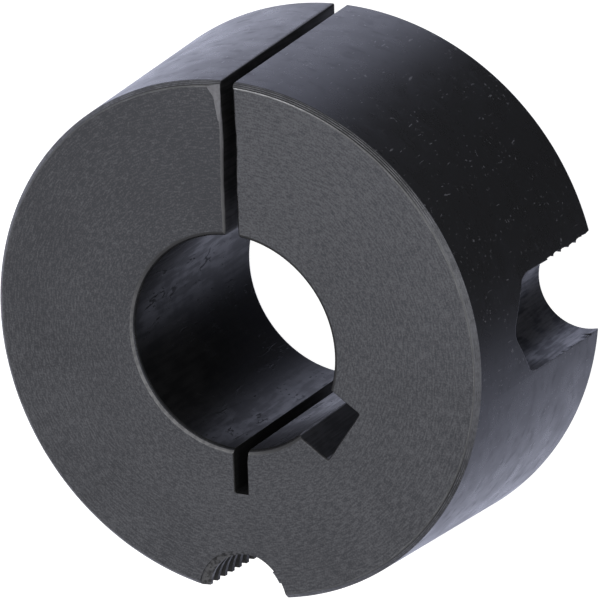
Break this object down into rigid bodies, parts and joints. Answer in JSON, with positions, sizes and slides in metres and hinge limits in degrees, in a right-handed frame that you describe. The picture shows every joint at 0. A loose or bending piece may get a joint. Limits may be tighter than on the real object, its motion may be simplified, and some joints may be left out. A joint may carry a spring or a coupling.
{
  "type": "taper bush",
  "caption": "Split taper bush with a keyed bore, plain half-holes for clamping screws and a threaded half-hole for release, black phosphated iron.",
  "frame": {"origin": "centre of the bore on the large end's face", "axes": "+Z along the bore from the large end to the small end, +Y towards the split"},
  "size_m": [0.0568, 0.0568, 0.0254],
  "materials": {
    "phosphated_iron": "turned and ground cast iron with a black phosphate coat, satin on the taper and dull on the faces"
  },
  "bodies": {
    "root": {"taper_bush": "phosphated_iron"}
  },
  "joints": []
}
